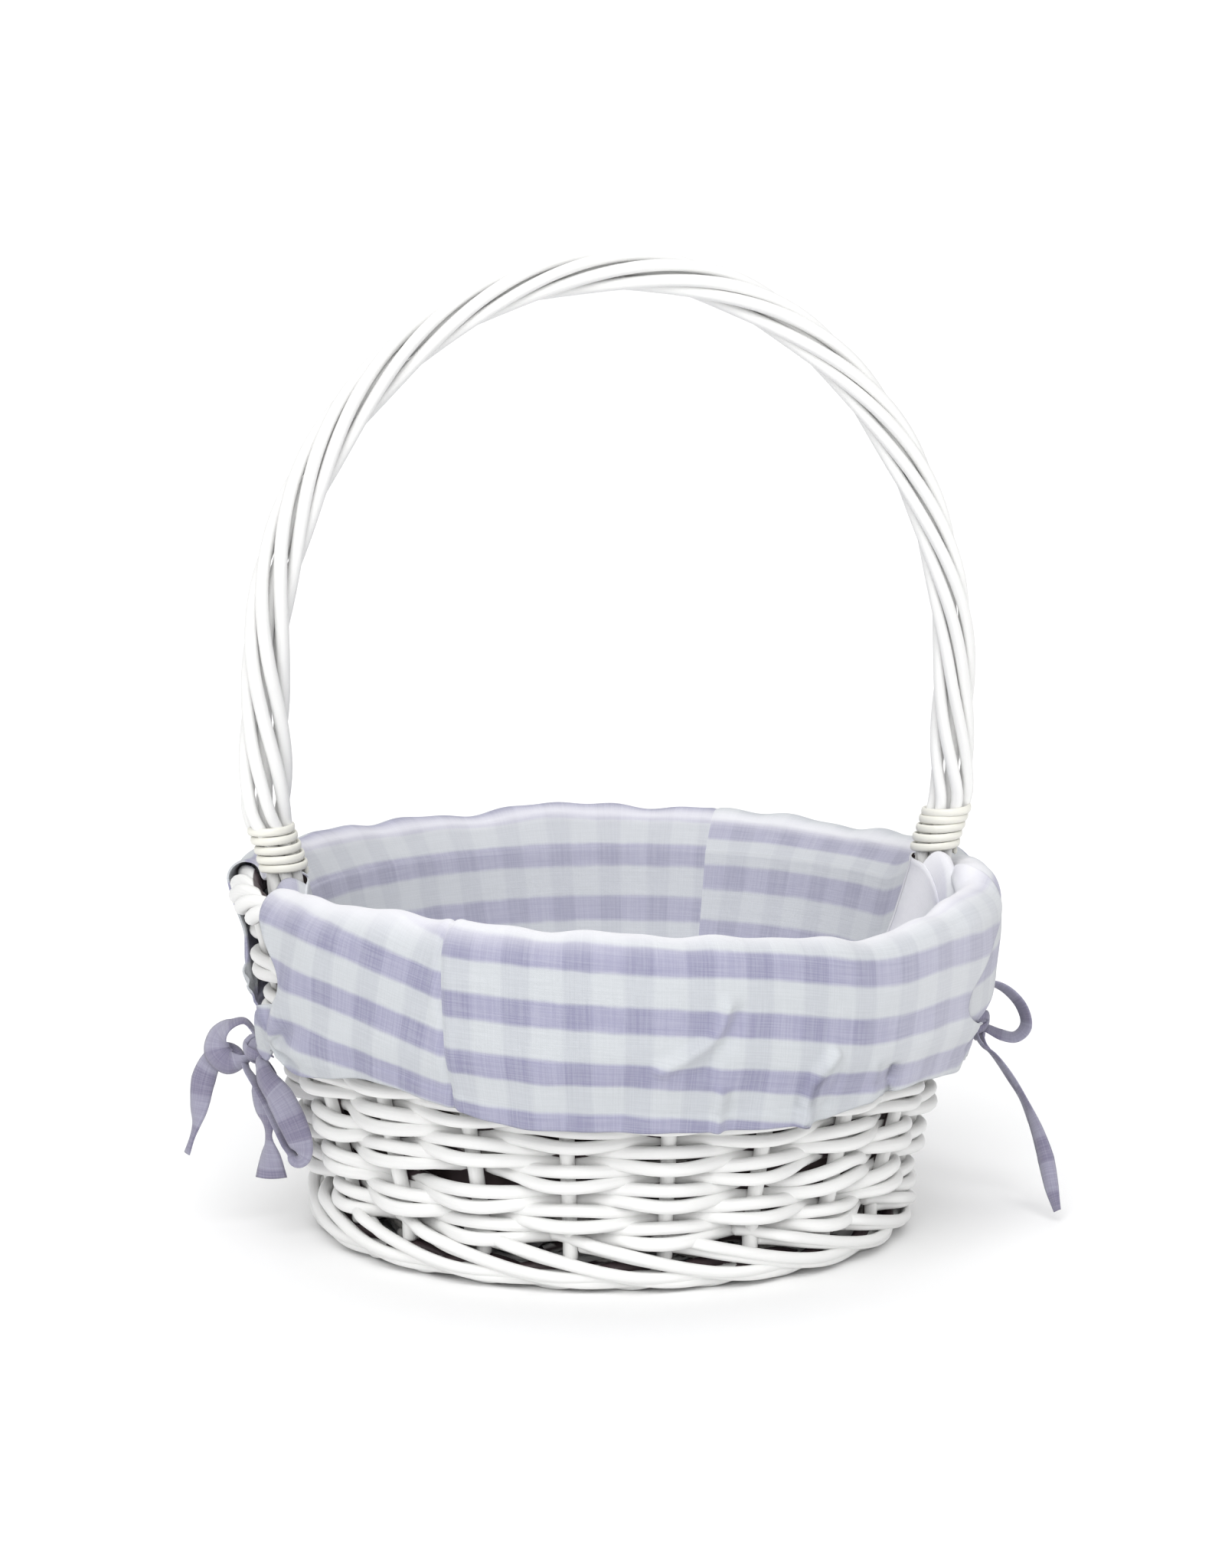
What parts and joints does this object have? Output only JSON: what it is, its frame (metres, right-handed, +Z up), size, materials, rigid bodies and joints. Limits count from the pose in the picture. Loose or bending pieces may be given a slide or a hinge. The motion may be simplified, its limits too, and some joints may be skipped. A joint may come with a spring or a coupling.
{
  "type": "flower girl basket",
  "caption": "Round open willow basket with a tall fixed twisted arch handle and a removable checked fabric liner folded over the rim and tied at both sides.",
  "frame": {"origin": "centre of the base, on the surface the basket stands on", "axes": "+Z up, +X to the right handle foot, the handle stands in the XZ plane, -Y is the front"},
  "size_m": [0.3237, 0.2842, 0.3569],
  "materials": {
    "white_willow": "white painted willow, satin",
    "lashing_cane": "white painted split cane, satin",
    "gingham_cotton": "lavender and white woven gingham cotton, matte",
    "tie_cotton": "lavender woven cotton tie, matte"
  },
  "bodies": {
    "basket": {"side_stake_01": "white_willow", "side_stake_02": "white_willow", "side_stake_03": "white_willow", "side_stake_04": "white_willow", "side_stake_05": "white_willow", "side_stake_06": "white_willow", "side_stake_07": "white_willow", "side_stake_08": "white_willow", "side_stake_09": "white_willow", "side_stake_10": "white_willow", "side_stake_11": "white_willow", "side_stake_12": "white_willow", "side_stake_13": "white_willow", "side_stake_14": "white_willow", "side_stake_15": "white_willow", "side_stake_16": "white_willow", "side_stake_17": "white_willow", "side_stake_18": "white_willow", "side_stake_19": "white_willow", "side_stake_20": "white_willow", "weaver_01": "white_willow", "weaver_02": "white_willow", "weaver_03": "white_willow", "weaver_04": "white_willow", "weaver_05": "white_willow", "weaver_06": "white_willow", "weaver_07": "white_willow", "weaver_08": "white_willow", "weaver_09": "white_willow", "weaver_10": "white_willow", "weaver_11": "white_willow", "weaver_12": "white_willow", "weaver_13": "white_willow", "rim_border_rod_1": "white_willow", "rim_border_rod_2": "white_willow", "rim_border_rod_3": "white_willow", "foot_rope_rod_1": "white_willow", "foot_rope_rod_2": "white_willow", "foot_heel_rods": "white_willow", "base_hoop": "white_willow", "base_spokes": "white_willow", "base_rings": "white_willow", "handle_bow": "white_willow", "handle_rod_1": "white_willow", "handle_rod_2": "white_willow", "handle_rod_3": "white_willow", "handle_rod_4": "white_willow", "handle_rod_5": "white_willow", "handle_rod_6": "white_willow", "lashing_left": "lashing_cane", "lashing_right": "lashing_cane"},
    "liner": {"liner_bag": "gingham_cotton", "liner_cuff_front": "gingham_cotton", "liner_cuff_back": "gingham_cotton", "tie_knot_left": "tie_cotton", "tie_knot_right": "tie_cotton", "tie_left_front": "tie_cotton", "tie_left_back": "tie_cotton", "tie_right_front": "tie_cotton", "tie_right_back": "tie_cotton"}
  },
  "joints": [
    {"name": "liner_lift", "type": "slide", "parent": "basket", "child": "liner", "axis": [0, 0, 1], "range_m": [0, 0.1], "deforming": ["liner_cuff_front", "liner_cuff_back", "tie_knot_left", "tie_knot_right", "tie_left_front", "tie_left_back", "tie_right_front", "tie_right_back"]}
  ]
}
